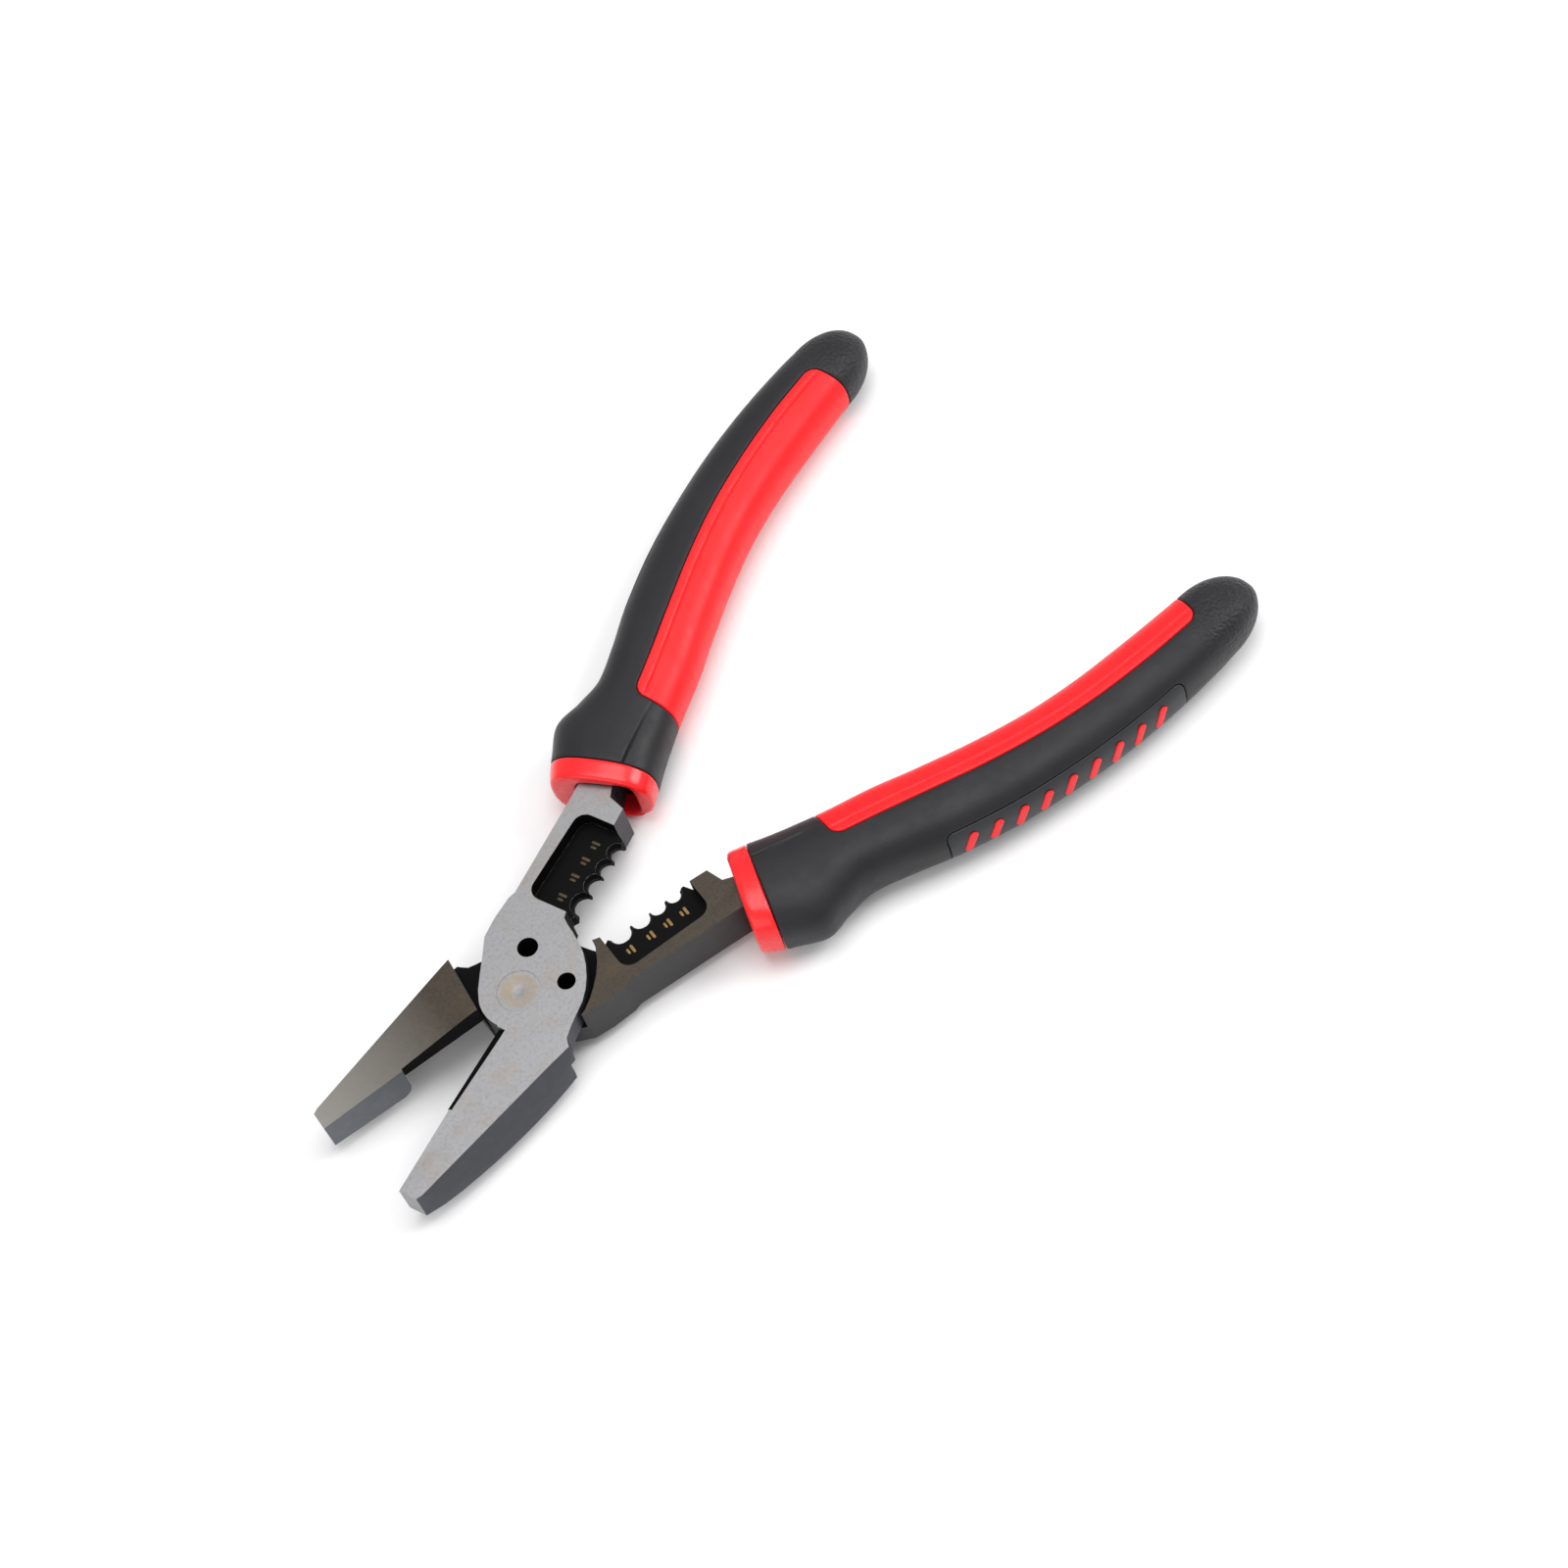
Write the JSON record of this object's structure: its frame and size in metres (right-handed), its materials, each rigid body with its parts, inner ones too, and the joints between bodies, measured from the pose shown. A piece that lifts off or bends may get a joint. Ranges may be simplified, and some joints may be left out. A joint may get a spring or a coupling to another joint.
{
  "type": "wire stripper",
  "caption": "Lap-jointed wire stripping pliers with gripping jaws, side cutter, notched stripping webs and two-colour moulded grips.",
  "frame": {"origin": "on the pivot axis, at the centre of the rivet's flush face on the front of the head", "axes": "+X towards the jaw tips along the line that halves the open angle, +Y towards the rear arm's handle, +Z out of the front face of the head"},
  "size_m": [0.2266, 0.1358, 0.0176],
  "materials": {
    "ground_steel": "satin ground steel",
    "dark_steel": "dark oxide, satin",
    "rivet_steel": "ground flush",
    "red_gloss": "smooth gloss",
    "red_rubber": "satin soft grip",
    "black_rubber": "matt soft grip",
    "panel_rubber": "satin soft grip",
    "sleeve_plastic": "matt"
  },
  "bodies": {
    "rear": {"rear_arm": "dark_steel", "pivot_rivet": "rivet_steel", "rear_grip_collar": "red_gloss", "rear_grip_sleeve": "sleeve_plastic", "rear_grip_cover": "black_rubber", "rear_grip_inlay": "red_rubber", "rear_grip_panel": "panel_rubber"},
    "front": {"front_arm": "ground_steel", "front_grip_collar": "red_gloss", "front_grip_sleeve": "sleeve_plastic", "front_grip_cover": "black_rubber", "front_grip_inlay": "red_rubber", "front_grip_panel": "panel_rubber"}
  },
  "joints": [
    {"name": "pivot", "type": "hinge", "parent": "rear", "child": "front", "pos_m": [0, 0, 0], "axis": [0, 0, 1], "range_deg": [-25, 7]}
  ]
}
